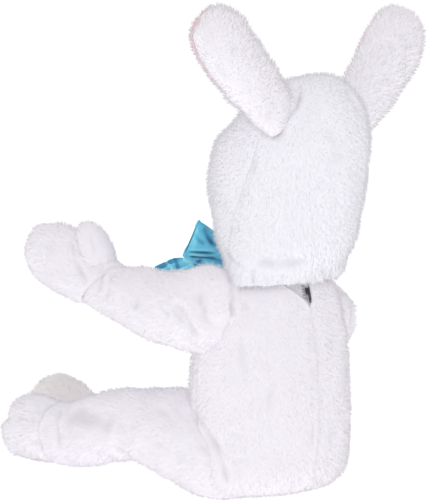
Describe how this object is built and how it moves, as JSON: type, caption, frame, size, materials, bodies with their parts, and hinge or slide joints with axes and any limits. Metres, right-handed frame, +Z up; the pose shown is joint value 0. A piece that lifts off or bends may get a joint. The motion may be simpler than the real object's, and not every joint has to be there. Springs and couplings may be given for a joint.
{
  "type": "bunny costume",
  "caption": "White plush toddler costume, worn and seated: zipped body with sleeves, mittens, legs and feet, a hood with stuffed ears, and a blue satin bow at the throat.",
  "frame": {"origin": "base of the neck, in the middle of the neck opening, where the wearer's neck and shoulders carry the costume", "axes": "+Z up, the wearer faces -Y, +X is the wearer's left; the seat and the legs lie 0.2575 m below the origin"},
  "size_m": [0.3702, 0.5741, 0.5718],
  "materials": {
    "white_plush": "soft short pile",
    "pink_plush": "soft short pile",
    "blue_satin": "glossy satin",
    "grey_tape": "matt woven tape",
    "dark_metal": "satin"
  },
  "bodies": {
    "costume": {"body_front": "white_plush", "body_back_left": "white_plush", "body_back_right": "white_plush", "sleeve_left": "white_plush", "sleeve_right": "white_plush", "mitten_left": "white_plush", "mitten_right": "white_plush", "mitten_thumb_left": "white_plush", "mitten_thumb_right": "white_plush", "leg_left": "white_plush", "leg_right": "white_plush", "foot_left": "white_plush", "foot_right": "white_plush", "hood_back": "white_plush", "hood_side_left": "white_plush", "hood_side_right": "white_plush", "ear_left": "white_plush", "ear_right": "white_plush", "ear_front_left": "pink_plush", "ear_front_right": "pink_plush", "bow_knot": "blue_satin", "bow_loop_left": "blue_satin", "bow_loop_right": "blue_satin", "bow_tail_left": "blue_satin", "bow_tail_right": "blue_satin", "zip_tape_left": "grey_tape", "zip_tape_right": "grey_tape", "zip_slider": "dark_metal"},
    "pull_tab": {"zip_pull_tab": "dark_metal"}
  },
  "joints": [
    {"name": "pull_tab_hinge", "type": "hinge", "parent": "costume", "child": "pull_tab", "pos_m": [0, 0.03361, -0.01736], "axis": [1, 0, 0], "range_deg": [0, 110]}
  ]
}
